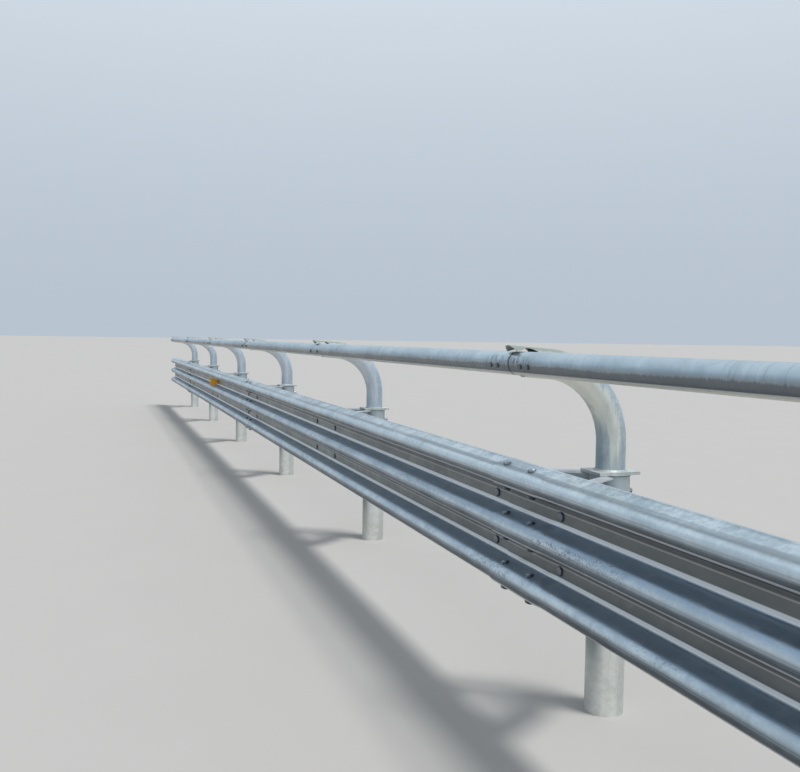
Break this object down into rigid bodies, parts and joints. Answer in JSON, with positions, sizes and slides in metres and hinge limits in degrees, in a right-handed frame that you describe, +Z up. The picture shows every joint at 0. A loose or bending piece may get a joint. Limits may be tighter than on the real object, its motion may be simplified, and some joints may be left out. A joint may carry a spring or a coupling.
{
  "type": "roadside guardrail row",
  "caption": "Galvanised roadside guardrail row: three-wave beam on pipe posts with spreader brackets, and a top rail on forward-bent pipes.",
  "frame": {"origin": "centre of the middle post's foot, on the ground", "axes": "+X along the row, the road on the -Y side, +Z up"},
  "size_m": [18.7, 0.5453, 1.4375],
  "materials": {
    "post_zinc": "hot dip galvanised, dull",
    "pipe_zinc": "hot dip galvanised, dull",
    "bracket_zinc": "hot dip galvanised, dull",
    "flange_zinc": "hot dip galvanised, dull",
    "cradle_zinc": "hot dip galvanised, dull",
    "beam_zinc": "hot dip galvanised, dull with a faint sheen",
    "rail_zinc": "hot dip galvanised, satin",
    "sleeve_zinc": "hot dip galvanised, dull",
    "reflector_amber": "amber reflector"
  },
  "bodies": {
    "root": {"lower_post_1": "post_zinc", "bent_post_1": "pipe_zinc", "beam_bracket_1": "bracket_zinc", "lower_post_2": "post_zinc", "bent_post_2": "pipe_zinc", "beam_bracket_2": "bracket_zinc", "lower_post_3": "post_zinc", "bent_post_3": "pipe_zinc", "beam_bracket_3": "bracket_zinc", "lower_post_4": "post_zinc", "bent_post_4": "pipe_zinc", "beam_bracket_4": "bracket_zinc", "lower_post_5": "post_zinc", "bent_post_5": "pipe_zinc", "beam_bracket_5": "bracket_zinc", "lower_post_6": "post_zinc", "bent_post_6": "pipe_zinc", "beam_bracket_6": "bracket_zinc", "lower_post_7": "post_zinc", "bent_post_7": "pipe_zinc", "beam_bracket_7": "bracket_zinc", "flange_plates": "flange_zinc", "rail_cradles": "cradle_zinc", "beam_panel_1": "beam_zinc", "beam_panel_2": "beam_zinc", "beam_panel_3": "beam_zinc", "beam_panel_4": "beam_zinc", "top_rail_1": "rail_zinc", "top_rail_2": "rail_zinc", "top_rail_3": "rail_zinc", "top_rail_4": "rail_zinc", "rail_sleeves": "sleeve_zinc", "reflector": "reflector_amber"}
  },
  "joints": []
}
